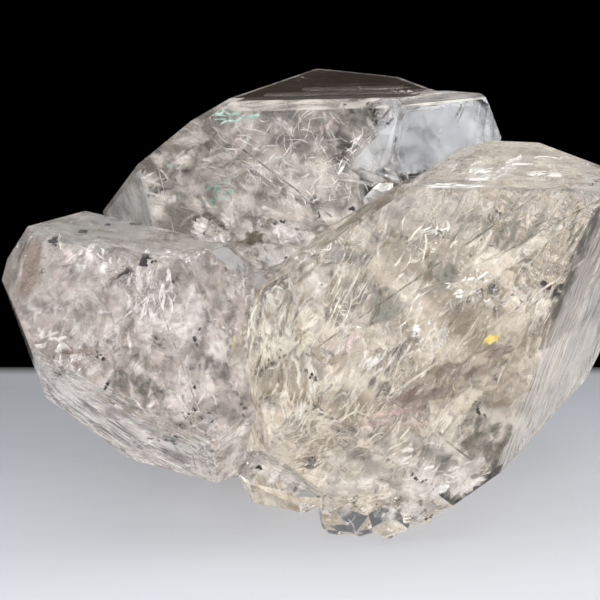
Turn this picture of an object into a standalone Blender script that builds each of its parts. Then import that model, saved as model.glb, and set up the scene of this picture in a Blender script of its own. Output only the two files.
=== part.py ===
"""Herkimer diamond: one cluster of doubly terminated quartz crystals that grew through each other.

Metres, +Z up, origin in the middle of the underside. X runs across the cluster from left to right,
Y from its front to its back. Every crystal is a convex block bounded by the faces of quartz: six prism
faces along its long axis and six pyramid faces at either end. Growth steps are thin plates bounded by
the faces of the crystal that they lie on. The crystals share one solid, because they grew as one, and
those that reach the surface end there in flat contact scars.
"""
import math
from typing import NamedTuple

import bmesh
import bpy
from mathutils import Matrix, Vector

MM = 0.001

# Angles between the faces of quartz.
FACE_TURN = math.radians(60)            # from one prism face to the next, round the long axis
PYRAMID_LEAN = math.radians(38.2)       # of a pyramid face's normal, from its prism face's normal

BLANK = 240 * MM                        # side of the block that every crystal is cut from
CUT_TOLERANCE = 1e-7
STEP_LIP = 0.12                         # mm that a growth step stands past a face that it is flush with
ZONES = ("prism", "head", "tail")       # a crystal's three rings of faces


class Crystal(NamedTuple):
    """A quartz crystal: sizes in millimetres, angles in degrees.

    The long axis points from the tail to the head, at azimuth round +Z from +X and elevation above the
    ground. With no roll, prism face m0 looks level. Faces go round the head in the order m0 to m5. Each
    size is a face's distance from the centre: prism faces, then the head's pyramid and the tail's.
    """
    name: str
    centre: tuple
    azimuth: float
    elevation: float
    roll: float
    prism: tuple
    head: tuple
    tail: tuple


class Steps(NamedTuple):
    """A stack of growth steps on one face of a crystal, sizes in millimetres.

    Each step rises over the last and starts a margin further in from the crystal's other faces, except
    from those that it is flush with.
    """
    crystal: Crystal
    zone: str
    face: int
    count: int
    rise: float
    margin: float
    flush: tuple = ()


# The crystals that the cluster shows from its front.
LEFT = Crystal(
    "left", centre=(-24.5, -9.5, 28), azimuth=-121, elevation=3, roll=26,
    prism=(17, 17.5, 24, 12.5, 20, 22),
    head=(16.5, 20.5, 24.5, 17.5, 14, 24.5),
    tail=(24.5, 18, 24, 16, 22, 24))

REAR = Crystal(
    "rear", centre=(-2.5, 15.5, 50), azimuth=-23, elevation=-1, roll=27,
    prism=(20, 15.5, 33, 17, 21, 13),
    head=(24, 29.5, 20, 29.5, 12.5, 17),
    tail=(19.5, 12.7, 28.5, 23.5, 30, 26))

RIGHT = Crystal(
    "right", centre=(24, -5.5, 31), azimuth=148, elevation=-33, roll=19,
    prism=(32.5, 22.5, 21, 32, 22.5, 29),
    head=(35.5, 24.5, 25.5, 22.8, 36.5, 34.5),
    tail=(23, 26.5, 30.5, 28.5, 18.5, 19.5))

SHOULDER = Crystal(
    "shoulder", centre=(20, 5, 56.5), azimuth=115, elevation=33, roll=30,
    prism=(12, 14, 12, 10, 9, 15),
    head=(9, 8.5, 11.5, 8.5, 6, 12),
    tail=(13.5, 8.5, 10, 9, 3.5, 11))

# The crystals that hold the cluster up behind.
BACK = Crystal(
    "back", centre=(-8, 20, 20), azimuth=70, elevation=12, roll=12,
    prism=(17, 15, 18, 16, 17, 19),
    head=(20, 18, 21, 22, 19, 20),
    tail=(22, 22, 22, 22, 22, 22))

BACK_RIGHT = Crystal(
    "back_right", centre=(26, 17, 24), azimuth=35, elevation=-14, roll=40,
    prism=(14, 15, 13, 15, 14, 16),
    head=(17, 19, 18, 16, 19, 17),
    tail=(20, 20, 20, 20, 20, 20))

# Small, very clear crystals and lumps along the front of the underside.
FOOT_LONG = Crystal(
    "foot_long", centre=(-2.5, -10.5, 5.2), azimuth=-27, elevation=-3, roll=22,
    prism=(3.4, 3.2, 3.6, 3.4, 3.2, 3.6),
    head=(5.2, 5.4, 5.0, 5.3, 5.6, 5.2),
    tail=(5.4, 5.0, 5.6, 5.2, 5.4, 5.0))

FOOT_CLEAR = Crystal(
    "foot_clear", centre=(8.2, -16, 3), azimuth=-130, elevation=31, roll=36,
    prism=(4.4, 4.2, 4.8, 4.4, 4.2, 4.8),
    head=(4.8, 5.0, 4.6, 5.2, 4.8, 5.0),
    tail=(4.8, 5.0, 4.6, 5.2, 4.8, 5.0))

FOOT_TINY = Crystal(
    "foot_tiny", centre=(6.3, -18, 1), azimuth=-34, elevation=58, roll=57,
    prism=(1.5, 1.7, 1.5, 1.6, 1.5, 1.7),
    head=(2.0, 1.9, 2.1, 2.0, 1.9, 2.1),
    tail=(2.0, 1.9, 2.1, 2.0, 1.9, 2.1))

LUMP = Crystal(
    "lump", centre=(14.5, -19.5, 3.6), azimuth=148, elevation=-33, roll=19,
    prism=(3.6, 3.0, 3.3, 3.8, 3.0, 3.4),
    head=(4.0, 3.6, 4.2, 3.8, 4.4, 4.0),
    tail=(3.8, 4.2, 4.0, 3.6, 3.8, 4.2))

LUMP_SMALL = Crystal(
    "lump_small", centre=(17.5, -21.5, 5), azimuth=-40, elevation=20, roll=12,
    prism=(2.6, 2.4, 2.8, 2.6, 2.4, 2.8),
    head=(3.2, 3.0, 3.4, 3.2, 3.0, 3.4),
    tail=(3.2, 3.0, 3.4, 3.2, 3.0, 3.4))

# Small crystals that sit in the hollows of the back.
BUD_BACK = Crystal(
    "bud_back", centre=(-27, 21, 22), azimuth=160, elevation=20, roll=8,
    prism=(6, 5.5, 6.5, 6, 5.5, 6.5),
    head=(8, 8.4, 7.6, 8.2, 7.8, 8.4),
    tail=(9, 9, 9, 9, 9, 9))

BUD_HIGH = Crystal(
    "bud_high", centre=(12, 31, 40), azimuth=75, elevation=25, roll=22,
    prism=(5, 5.4, 4.8, 5, 5.4, 4.8),
    head=(7, 6.6, 7.2, 7, 6.6, 7.2),
    tail=(8, 8, 8, 8, 8, 8))

CRYSTALS = (LEFT, REAR, RIGHT, SHOULDER, BACK, BACK_RIGHT, FOOT_LONG, FOOT_CLEAR, FOOT_TINY,
            LUMP, LUMP_SMALL, BUD_BACK, BUD_HIGH)


STEPS = (
    Steps(LEFT, "head", 4, count=3, rise=0.25, margin=0.9),
    Steps(LEFT, "head", 0, count=1, rise=0.25, margin=4.2, flush=(("head", 4),)),
    Steps(LEFT, "prism", 1, count=1, rise=0.3, margin=1.6),
    Steps(REAR, "head", 2, count=1, rise=0.5, margin=1.0),
    Steps(REAR, "prism", 3, count=1, rise=0.25, margin=2.2, flush=(("head", 2),)),
    Steps(REAR, "prism", 1, count=2, rise=0.3, margin=2.0),
    Steps(RIGHT, "tail", 1, count=2, rise=0.35, margin=1.3),
    Steps(RIGHT, "tail", 0, count=1, rise=0.25, margin=5, flush=(("tail", 1), ("prism", 0))),
    Steps(RIGHT, "tail", 5, count=1, rise=0.25, margin=4.5, flush=(("tail", 4),)),
    Steps(RIGHT, "tail", 4, count=3, rise=0.3, margin=1.5),
    Steps(SHOULDER, "tail", 1, count=1, rise=0.25, margin=1.0),
    Steps(BACK, "head", 1, count=2, rise=0.4, margin=2.2),
    Steps(BACK, "prism", 1, count=2, rise=0.4, margin=2.4),
    Steps(BACK_RIGHT, "head", 1, count=2, rise=0.4, margin=2.0),
)


def step_plates(steps):
    """The plates of one stack, each smaller and higher than the one below it."""
    plates = []
    for level in range(1, steps.count + 1):
        sizes = {}
        for zone in ZONES:
            sizes[zone] = [distance + STEP_LIP if (zone, face) in steps.flush
                           else distance - level * steps.margin
                           for face, distance in enumerate(getattr(steps.crystal, zone))]
        sizes[steps.zone][steps.face] = getattr(steps.crystal, steps.zone)[steps.face] + level * steps.rise
        plates.append(steps.crystal._replace(**sizes))
    return plates


def crystal_axes(crystal):
    """Unit vectors: the normal of prism face m0, the one a quarter turn on from it, and the long axis."""
    azimuth = math.radians(crystal.azimuth)
    elevation = math.radians(crystal.elevation)
    roll = math.radians(crystal.roll)
    long_axis = Vector((math.cos(elevation) * math.cos(azimuth),
                        math.cos(elevation) * math.sin(azimuth),
                        math.sin(elevation)))
    level = Vector((-math.sin(azimuth), math.cos(azimuth), 0))
    across = long_axis.cross(level)
    first = level * math.cos(roll) + across * math.sin(roll)
    return first, long_axis.cross(first), long_axis


def crystal_faces(crystal):
    """The normal and the distance from the centre, in metres, of each of the eighteen faces."""
    first, second, long_axis = crystal_axes(crystal)
    faces = []
    for place in range(6):
        outward = first * math.cos(place * FACE_TURN) + second * math.sin(place * FACE_TURN)
        slant = outward * math.cos(PYRAMID_LEAN)
        rise = long_axis * math.sin(PYRAMID_LEAN)
        faces.append((outward, crystal.prism[place] * MM))
        faces.append((slant + rise, crystal.head[place] * MM))
        faces.append((slant - rise, crystal.tail[place] * MM))
    return faces


def slice_off(block, point, normal):
    """Remove what lies past a plane and close the cut."""
    everything = block.verts[:] + block.edges[:] + block.faces[:]
    cut = bmesh.ops.bisect_plane(block, geom=everything, dist=CUT_TOLERANCE,
                                 plane_co=point, plane_no=normal, clear_outer=True)
    rim = [item for item in cut["geom_cut"] if isinstance(item, bmesh.types.BMEdge)]
    if rim:
        bmesh.ops.edgeloop_fill(block, edges=rim)


def crystal_object(crystal):
    """A convex block cut to a crystal's eighteen faces."""
    centre = Vector(crystal.centre) * MM
    block = bmesh.new()
    bmesh.ops.create_cube(block, size=BLANK, matrix=Matrix.Translation(centre))
    for normal, distance in crystal_faces(crystal):
        slice_off(block, centre + normal * distance, normal)
    bmesh.ops.recalc_face_normals(block, faces=block.faces)
    mesh = bpy.data.meshes.new(crystal.name)
    block.to_mesh(mesh)
    block.free()
    item = bpy.data.objects.new(crystal.name, mesh)
    bpy.context.collection.objects.link(item)
    return item


def merge(body, addition):
    """Unite addition with body, and remove it."""
    union = body.modifiers.new("grown_together", "BOOLEAN")
    union.operation = "UNION"
    union.object = addition
    graph = bpy.context.evaluated_depsgraph_get()
    united = bpy.data.meshes.new_from_object(body.evaluated_get(graph))
    body.modifiers.remove(union)
    body.data = united
    bpy.data.objects.remove(addition)


def stand_on_ground(body):
    """Cut the underside flat at the ground, and put the origin in the middle of it."""
    mesh = bmesh.new()
    mesh.from_mesh(body.data)
    slice_off(mesh, Vector((0, 0, 0)), Vector((0, 0, -1)))
    lows = [min(vertex.co[axis] for vertex in mesh.verts) for axis in range(3)]
    highs = [max(vertex.co[axis] for vertex in mesh.verts) for axis in range(3)]
    middle = Vector(((lows[0] + highs[0]) / 2, (lows[1] + highs[1]) / 2, 0))
    bmesh.ops.translate(mesh, verts=mesh.verts, vec=-middle)
    mesh.to_mesh(body.data)
    mesh.free()


def quartz():
    """Clear quartz: faintly warm, and as smooth as a grown crystal face."""
    material = bpy.data.materials.new("quartz")
    material.use_nodes = True
    shader = material.node_tree.nodes["Principled BSDF"]
    shader.inputs["Base Color"].default_value = (0.86, 0.83, 0.79, 1)
    shader.inputs["Roughness"].default_value = 0.06
    shader.inputs["Metallic"].default_value = 0
    shader.inputs["IOR"].default_value = 1.544
    shader.inputs["Transmission Weight"].default_value = 1
    return material


def build():
    """Grow the crystals and their steps into one solid that stands on its contact scars."""
    for item in list(bpy.data.objects):
        bpy.data.objects.remove(item)
    cluster = crystal_object(CRYSTALS[0])
    for crystal in CRYSTALS[1:]:
        merge(cluster, crystal_object(crystal))
    for steps in STEPS:
        for plate in step_plates(steps):
            merge(cluster, crystal_object(plate))
    stand_on_ground(cluster)
    cluster.name = "crystal_cluster"
    cluster.data.materials.clear()
    cluster.data.materials.append(quartz())


build()
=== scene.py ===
"""Herkimer diamond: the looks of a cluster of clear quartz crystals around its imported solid.

The solid is the glass. All that lies inside it is mesh made here: some spread through each crystal, some
along faces, and some under chosen pixels.
"""
import math
from functools import partial
from typing import NamedTuple

import bmesh
import bpy
import numpy as np
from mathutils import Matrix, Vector
from mathutils.bvhtree import BVHTree


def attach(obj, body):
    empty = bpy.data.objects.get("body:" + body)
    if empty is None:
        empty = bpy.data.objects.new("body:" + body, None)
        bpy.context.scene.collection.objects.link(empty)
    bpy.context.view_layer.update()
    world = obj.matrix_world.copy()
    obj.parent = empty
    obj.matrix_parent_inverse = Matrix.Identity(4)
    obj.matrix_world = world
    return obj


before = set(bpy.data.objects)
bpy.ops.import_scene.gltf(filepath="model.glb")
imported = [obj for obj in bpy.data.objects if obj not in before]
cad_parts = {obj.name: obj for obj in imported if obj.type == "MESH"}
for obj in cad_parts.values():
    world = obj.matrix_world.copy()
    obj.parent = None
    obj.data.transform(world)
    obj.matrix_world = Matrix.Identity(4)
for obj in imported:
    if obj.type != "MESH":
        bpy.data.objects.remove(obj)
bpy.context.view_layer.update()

MM = 0.001
BODY = "root"
NODE = "crystal_cluster"
IOR = 1.544  # quartz
FULL_TURN = 2 * math.pi

# --- the view ---
PITCH = math.radians(15)  # how far the camera looks down
DISTANCE = 600 * MM  # from the camera to its target
FIELD = 96 * MM  # what the picture's width spans at the target
PICTURE = 600  # the picture's side in pixels
PIXEL = FIELD / PICTURE
SENSOR = 36.0
TARGET = Vector((-2.53, -7.01, 33.0)) * MM
RIGHTWARD = Vector((1, 0, 0))
UPWARD = Vector((0, math.sin(PITCH), math.cos(PITCH)))
BACKWARD = Vector((0, -math.cos(PITCH), math.sin(PITCH)))
EYE = TARGET + BACKWARD * DISTANCE
TO_EYE = np.array(BACKWARD)
FROM_EYE = np.array(-BACKWARD)

# --- the crystals, as they grew ---
SHIFT = np.array((-2.5286, -7.0098, 0.0))  # from the crystals' own frame to the row frame, mm
FACE_TURN = math.radians(60)  # from one prism face to the next
PYRAMID_LEAN = math.radians(38.2)  # from a prism face's normal to its pyramid face's
SPAN = 50  # how far from a crystal's middle random points are tried, mm
TRIES = 20  # points tried for each one wanted


class Crystal(NamedTuple):
    """A crystal's middle (mm), its turns (degrees), and how far each face is from the middle (mm)."""
    centre: tuple
    azimuth: float
    elevation: float
    roll: float
    prism: tuple
    head: tuple
    tail: tuple


CRYSTALS = {
    "left": Crystal((-24.5, -9.5, 28), -121, 3, 26, (17, 17.5, 24, 12.5, 20, 22),
                    (16.5, 20.5, 24.5, 17.5, 14, 24.5), (24.5, 18, 24, 16, 22, 24)),
    "rear": Crystal((-2.5, 15.5, 50), -23, -1, 27, (20, 15.5, 33, 17, 21, 13),
                    (24, 29.5, 20, 29.5, 12.5, 17), (19.5, 12.7, 28.5, 23.5, 30, 26)),
    "right": Crystal((24, -5.5, 31), 148, -33, 19, (32.5, 22.5, 21, 32, 22.5, 29),
                     (35.5, 24.5, 25.5, 22.8, 36.5, 34.5), (23, 26.5, 30.5, 28.5, 18.5, 19.5)),
    "shoulder": Crystal((20, 5, 56.5), 115, 33, 30, (12, 14, 12, 10, 9, 15),
                        (9, 8.5, 11.5, 8.5, 6, 12), (13.5, 8.5, 10, 9, 3.5, 11)),
    "back": Crystal((-8, 20, 20), 70, 12, 12, (17, 15, 18, 16, 17, 19),
                    (20, 18, 21, 22, 19, 20), (22,) * 6),
    "back_right": Crystal((26, 17, 24), 35, -14, 40, (14, 15, 13, 15, 14, 16),
                          (17, 19, 18, 16, 19, 17), (20,) * 6),
}


def unit(vectors):
    return vectors / np.maximum(np.linalg.norm(vectors, axis=-1, keepdims=True), 1e-9)


def middle(crystal):
    return np.array(crystal.centre) + SHIFT


def planes(crystal):
    """Outward normals and offsets (mm, row frame) of a crystal's faces and of the ground."""
    az, el, roll = (math.radians(v) for v in (crystal.azimuth, crystal.elevation, crystal.roll))
    axis = np.array((math.cos(el) * math.cos(az), math.cos(el) * math.sin(az), math.sin(el)))
    level = np.array((-math.sin(az), math.cos(az), 0.0))
    first = level * math.cos(roll) + np.cross(axis, level) * math.sin(roll)
    second = np.cross(axis, first)
    centre = middle(crystal)
    normals, offsets = [(0, 0, -1.0)], [0.0]
    for place in range(6):
        turn = place * FACE_TURN
        out = first * math.cos(turn) + second * math.sin(turn)
        slant, rise = out * math.cos(PYRAMID_LEAN), axis * math.sin(PYRAMID_LEAN)
        for normal, size in ((out, crystal.prism[place]), (slant + rise, crystal.head[place]),
                             (slant - rise, crystal.tail[place])):
            normals.append(normal)
            offsets.append(normal @ centre + size)
    return np.array(normals), np.array(offsets)


PLANES = {name: planes(crystal) for name, crystal in CRYSTALS.items()}


def depth_in(name, points):
    """How deep points (mm) lie in one crystal; negative outside."""
    normals, offsets = PLANES[name]
    return (offsets - points @ normals.T).min(1)


def depth(points):
    """How deep points (mm) lie in the deepest crystal around them; negative outside."""
    return np.max([depth_in(name, points) for name in PLANES], axis=0)


def shallowest(shapes, measure=depth):
    """How deep the shallowest point of each shape lies."""
    return measure(shapes.reshape(-1, 3)).reshape(len(shapes), -1).min(1)


def random_inside(rng, name, count, margin):
    """count random points at least margin mm inside one crystal."""
    found = np.zeros((0, 3))
    while len(found) < count:
        tries = middle(CRYSTALS[name]) + rng.uniform(-SPAN, SPAN, (count * TRIES, 3))
        found = np.vstack((found, tries[depth_in(name, tries) > margin]))
    return found[:count]


def face_plane(name, face):
    """Outward normal and offset (mm) of one face: m0 to m5 prism, r0 to r5 head and q0 to q5 tail."""
    place = 1 + 3 * int(face[1]) + "mrq".index(face[0])
    normals, offsets = PLANES[name]
    return normals[place], offsets[place]


def edge_run(name, face, neighbour):
    """The direction of the edge between two faces."""
    return unit(np.cross(face_plane(name, face)[0], face_plane(name, neighbour)[0]))


def surface_of(solid):
    mesh = solid.data
    return BVHTree.FromPolygons([v.co for v in mesh.vertices], [p.vertices for p in mesh.polygons])


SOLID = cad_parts[NODE]
SKIN = surface_of(SOLID)


def skin_depth(points):
    """How deep points (mm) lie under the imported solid's surface; negative outside."""
    found = np.zeros(len(points))
    for place, point in enumerate(points):
        nearest, normal, _, _ = SKIN.find_nearest(Vector(point) * MM)
        found[place] = (nearest / MM - Vector(point)).dot(normal)
    return found


def look_in(x, y, deep):
    """The point (mm) on a pixel's bent sight line, deep mm behind the surface, and the surface's normal."""
    aim = TARGET + RIGHTWARD * (x - PICTURE / 2) * PIXEL + UPWARD * (PICTURE / 2 - y) * PIXEL
    ray = (aim - EYE).normalized()
    hit, normal, _, _ = SKIN.ray_cast(EYE, ray)
    if hit is None:
        return None, None
    cosine = -ray.dot(normal)
    ratio = 1 / IOR
    bent = ray * ratio + normal * (ratio * cosine - math.sqrt(1 - ratio ** 2 * (1 - cosine ** 2)))
    return np.array(hit / MM + bent * deep), np.array(normal)


# --- stage ---
def placed(name, data):
    """A new object in the scene."""
    item = bpy.data.objects.new(name, data)
    bpy.context.scene.collection.objects.link(item)
    return item


def camera():
    data = bpy.data.cameras.new("view")
    data.sensor_width = SENSOR
    data.lens = SENSOR * DISTANCE / FIELD
    data.clip_start = 10 * MM
    item = placed("view", data)
    item.location = EYE
    item.rotation_euler = (math.pi / 2 - PITCH, 0, 0)
    bpy.context.scene.camera = item


FLOOR_BACK = 69 * MM  # the floor ends here, and it is black beyond
FLOOR_FRONT = -300 * MM
FLOOR_SIDE = 420 * MM
# painted shade: the floor's colour fades to black over this distance before its back edge
FLOOR_FADE = 5 * MM
FLOOR_PALE = -60 * MM  # in front of this the floor is at its palest
# painted shade: the floor's tones run from its darker back to its palest front
FLOOR_TONES = ((0, (0.21, 0.22, 0.235)), (0.25, (0.27, 0.28, 0.305)), (0.6, (0.4, 0.415, 0.45)),
               (1, (0.5, 0.515, 0.54)))


def floor_paper():
    """Paper with painted shade: it darkens towards its back edge and a little towards one side, where less
    light falls, and fades to black at the back edge.
    """
    add, finish = fresh("floor_paper")
    away = add("SeparateXYZ", position(add), output="Y")
    across = add("SeparateXYZ", position(add), output="X")
    slant = calc(add, "MULTIPLY_ADD", across, -0.25, away)
    paper = tone_ramp(add, between(add, slant, FLOOR_BACK, FLOOR_PALE), FLOOR_TONES)
    fade = between(add, away, FLOOR_BACK - FLOOR_FADE, FLOOR_BACK, 1.0, 0.0)
    tone = vector(add, "SCALE", paper, Scale=fade)
    grain = add("Bump", Strength=0.1, Distance=0.2 * MM, Height=noise(add, 1200.0))
    return finish(add("BsdfPrincipled", Base_Color=tone, Roughness=0.6, Specular_IOR_Level=0.2,
                      Normal=grain))


def floor():
    mesh = bpy.data.meshes.new("floor")
    corners = [(-FLOOR_SIDE, FLOOR_FRONT, 0), (FLOOR_SIDE, FLOOR_FRONT, 0), (FLOOR_SIDE, FLOOR_BACK, 0),
               (-FLOOR_SIDE, FLOOR_BACK, 0)]
    mesh.from_pydata(corners, [], [(0, 1, 2, 3)])
    mesh.materials.append(floor_paper())
    placed("floor", mesh)


LIT = Vector((0, 0, 30)) * MM  # what the lights face
DOME_BLACK, DOME_FULL = 0.12, 0.55  # the sines of the heights between which the dome brightens
DOME_LIGHT = 0.85


def softbox(name, place, width, height, power):
    """A soft light (metres, watts) that faces the cluster."""
    data = bpy.data.lights.new(name, "AREA")
    data.shape = "RECTANGLE"
    data.size = width
    data.size_y = height
    data.energy = power
    item = placed(name, data)
    item.location = place
    item.rotation_euler = (LIT - Vector(place)).to_track_quat("-Z", "Y").to_euler()


def dome():
    """A weak light from above. It is black near the horizon, where the picture's background is."""
    world = bpy.data.worlds.new("studio")
    world.use_nodes = True
    tree = world.node_tree
    add = adder(tree)
    height = add("SeparateXYZ", add("TexCoord", output="Generated"), output="Z")
    light = between(add, height, DOME_BLACK, DOME_FULL, 0.0, DOME_LIGHT)
    tree.links.new(light, tree.nodes["Background"].inputs["Color"])
    bpy.context.scene.world = world


def lights():
    softbox("top_box", (0.10, -0.12, 0.70), 0.90, 0.80, 4.3)
    softbox("left_box", (-0.70, -0.15, 0.35), 0.50, 0.50, 1.4)
    softbox("right_box", (0.72, -0.10, 0.35), 0.50, 0.50, 1.5)
    softbox("front_box", (0.15, -0.85, 0.50), 0.60, 0.45, 2.4)
    dome()


def settings():
    """Bounces enough for films within glass, and plain colours."""
    scene = bpy.context.scene
    scene.cycles.max_bounces = 5
    scene.cycles.transparent_max_bounces = 5
    scene.view_settings.view_transform = "Standard"


# --- materials ---
def adder(tree):
    """A function that adds a node. Its inputs come in their order or by name, as values or sockets."""
    def add(kind, *inputs, output=0, settings=(), **named):
        node = tree.nodes.new("ShaderNode" + kind)
        for key, value in dict(settings).items():
            setattr(node, key, value)
        sockets = [*enumerate(inputs), *((key.replace("_", " "), value) for key, value in named.items())]
        for key, value in sockets:
            socket = node.inputs[key]
            if isinstance(value, bpy.types.NodeSocket):
                tree.links.new(value, socket)
            elif socket.type == "RGBA":
                socket.default_value = (*value, 1)
            else:
                socket.default_value = value
        return node.outputs[output]

    return add


def fresh(name):
    """Two functions of a new material: one adds a node, and one ends it with a surface and a volume."""
    material = bpy.data.materials.new(name)
    material.use_nodes = True
    tree = material.node_tree
    tree.nodes.remove(tree.nodes["Principled BSDF"])

    def finish(surface, **volume):
        for key, value in {"Surface": surface, **volume}.items():
            tree.links.new(value, tree.nodes["Material Output"].inputs[key])
        return material

    return adder(tree), finish


def calc(add, operation, *values):
    return add("Math", *values, settings={"operation": operation})


def vector(add, operation, *values, output=0, **named):
    return add("VectorMath", *values, output=output, settings={"operation": operation}, **named)


def mixed(add, share, first, second):
    return add("MixShader", share, first, second)


def position(add):
    return add("NewGeometry", output="Position")


def combed(add, along, comb, sway):
    """Places pressed together along one direction, which draws a pattern on them out into wavy streaks."""
    place = position(add)
    swirl = add("TexNoise", Vector=place, Scale=140.0, Detail=0.0)
    place = vector(add, "MULTIPLY_ADD", swirl, (sway,) * 3, place)
    run = vector(add, "DOT_PRODUCT", place, tuple(along), output="Value")
    pressed = vector(add, "SCALE", tuple(comb * v for v in along), Scale=run)
    return vector(add, "SUBTRACT", place, pressed)


FLOWS = {  # the way that each crystal's growth lines and flaws run
    "left": (0.25, 0.2, 0.95), "rear": (0.8, 0.1, 0.3), "right": (0.42, 0.1, 0.9),
    "shoulder": (0.4, 0.1, 0.92), "back": (0.2, 0.9, 0.2), "back_right": (0.7, 0.3, 0.2),
}
GLASS_ROUGHNESS = 0.02
FROSTED = (  # how much rougher some faces are
    ("left", "m0", 0.06), ("left", "r2", 0.22), ("left", "m1", 0.05),
    ("rear", "q3", 0.20), ("rear", "m1", 0.08), ("right", "q4", 0.08),
)
GROWTH = (  # which faces carry growth hillocks, and how strong they are
    ((("right", "q0"), ("right", "q5"), ("right", "m5"), ("right", "m0")), 1.0),
    ((("left", "r0"), ("left", "r1"), ("rear", "r2"), ("rear", "m3"), ("right", "q1"), ("right", "q4")),
     0.3),
)
SAME_WAY = 0.9995  # the cosine from which a normal counts as a face's own


def on_faces(add, facing, faces):
    """1 on the named faces and 0 elsewhere."""
    found = 0.0
    for name, face in faces:
        likeness = vector(add, "DOT_PRODUCT", facing, tuple(face_plane(name, face)[0]), output="Value")
        found = calc(add, "ADD", calc(add, "GREATER_THAN", likeness, SAME_WAY), found)
    return found


def growth_relief(add, facing):
    """The growth hillocks: one pattern of heights for all faces, whose strength depends on the face."""
    strength = 0.0
    for faces, amount in GROWTH:
        strength = calc(add, "ADD", product(add, on_faces(add, facing, faces), amount), strength)
    place = combed(add, FLOWS["right"], 0.75, 6 * MM)
    pattern = add("TexNoise", Vector=place, Scale=330.0, Detail=1.0, Roughness=0.55)
    return add("Bump", Strength=strength, Distance=0.6 * MM, Height=pattern)


def quartz_glass():
    """Clear quartz, which growth has frosted on some faces and left hilly on others. Its shadow is weak."""
    add, finish = fresh("quartz_glass")
    rough = GLASS_ROUGHNESS
    facing = add("NewGeometry", output="True Normal")
    for name, face, amount in FROSTED:
        rough = calc(add, "MULTIPLY_ADD", on_faces(add, facing, ((name, face),)), amount, rough)
    glass = add("BsdfPrincipled", Base_Color=(0.97, 0.96, 0.95), Roughness=rough, IOR=IOR,
                Transmission_Weight=1.0, Normal=growth_relief(add, facing))
    clear = add("BsdfTransparent", Color=(0.93, 0.93, 0.93))
    surface = mixed(add, add("LightPath", output="Is Shadow Ray"), glass, clear)
    return finish(surface, Volume=add("VolumeAbsorption", Color=(0.92, 0.84, 0.74), Density=7.0))


def crisp_edges(solid):
    """The narrow chipped bevels that catch light along a crystal's edges."""
    weld = solid.modifiers.new("weld", "WELD")
    weld.merge_threshold = 0.01 * MM
    bevel = solid.modifiers.new("edge_wear", "BEVEL")
    bevel.width = 0.10 * MM
    bevel.segments = 1
    bevel.limit_method = "ANGLE"
    bevel.angle_limit = math.radians(12)
    bevel.use_clamp_overlap = True


def tone_ramp(add, value, stops):
    """The colour that stops, each a place and a colour, give for a value."""
    colour = add("ValToRGB", Fac=value)
    elements = colour.node.color_ramp.elements
    while len(elements) < len(stops):
        elements.new(0.5)
    for element, (place, shade) in zip(elements, stops):
        element.position = place
        element.color = (*shade, 1)
    return colour


def light_catching(add, tone, gloss, roughness):
    """A thin crack or fluid film: it scatters light, lets some through and shines."""
    front, through = add("BsdfDiffuse", Color=tone), add("BsdfTranslucent", Color=tone)
    shine = add("BsdfGlossy", Roughness=roughness, Color=(0.95, 0.94, 0.92))
    return mixed(add, gloss, mixed(add, 0.45, front, through), shine)


def covered(add, finish, cover, surface):
    """A surface that is there as far as cover says, and clear elsewhere."""
    return finish(mixed(add, cover, add("BsdfTransparent"), surface))


def product(add, first, second):
    return calc(add, "MULTIPLY", first, second)


def noise(add, scale, detail=2.0):
    return add("TexNoise", Vector=position(add), Scale=scale, Detail=detail)


def between(add, value, low, high, bottom=0.0, top=1.0):
    """bottom where the value is low, top where it is high, and evenly between them."""
    return add("MapRange", Value=value, From_Min=low, From_Max=high, To_Min=bottom, To_Max=top)


def attribute(add, name):
    return add("Attribute", output="Fac", settings={"attribute_name": name})


def flake_material(name, stops):
    """Tiny solid-looking flakes, each with its own tone."""
    add, finish = fresh(name)
    tone = tone_ramp(add, add("NewGeometry", output="Random Per Island"), stops)
    return finish(light_catching(add, tone, 0.3, 0.2))


SHRED_CONTRAST = (0.3, 0.6, 0.5, 1.0)


def milk_material(name, stops, curd=900.0, contrast=(0.35, 0.65, 0.35, 1.0), gloss=0.12):
    """A film whose points say how much of it there is and how light it is, with fine curdling."""
    add, finish = fresh(name)
    tone = tone_ramp(add, attribute(add, "tone"), stops)
    cover = product(add, attribute(add, "cover"), between(add, noise(add, curd, 0.0), *contrast))
    return covered(add, finish, cover, light_catching(add, tone, gloss, 0.25))


def film_material():
    """An open fracture: a rippled mirror that is clearer where it is looked through squarely."""
    add, finish = fresh("fracture_film")
    colour = (0.92, 0.90, 0.87)
    slant = between(add, add("LayerWeight", output="Facing", Blend=0.45), 0.0, 0.9, 0.35, 1.0)
    bump = add("Bump", Strength=0.5, Distance=0.3 * MM, Height=noise(add, 1500.0, 1.0))
    shine = add("BsdfGlossy", Roughness=0.12, Color=colour, Normal=bump)
    both = mixed(add, 0.3, shine, add("BsdfTranslucent", Color=colour))
    return covered(add, finish, product(add, attribute(add, "cover"), slant), both)


def carbon_material():
    add, finish = fresh("carbon")
    rough = between(add, noise(add, 3000.0), 0.3, 0.7, 0.35, 0.8)
    tone = tone_ramp(add, noise(add, 2500.0), ((0.3, (0.006, 0.006, 0.007)), (0.8, (0.035, 0.032, 0.03))))
    return finish(add("BsdfPrincipled", Base_Color=tone, Roughness=rough))


# --- pieces inside the quartz ---
def random_directions(rng, count):
    return unit(rng.normal(size=(count, 3)))


def random_direction(rng):
    return random_directions(rng, 1)[0]


def square_to(directions, normals):
    """Directions turned until they are square to the normals."""
    return unit(directions - normals * (directions * normals).sum(-1, keepdims=True))


def random_field(rng, size, terms=16):
    """A smooth random function of points, about -1 to 1, whose swells are about size mm across."""
    waves = random_directions(rng, terms) * rng.uniform(0.5, 1.7, (terms, 1)) * 2 * math.pi / size
    phases = rng.uniform(0, FULL_TURN, terms)
    return lambda points: np.sin(points @ waves.T + phases).sum(-1) / math.sqrt(terms / 2)


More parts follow.
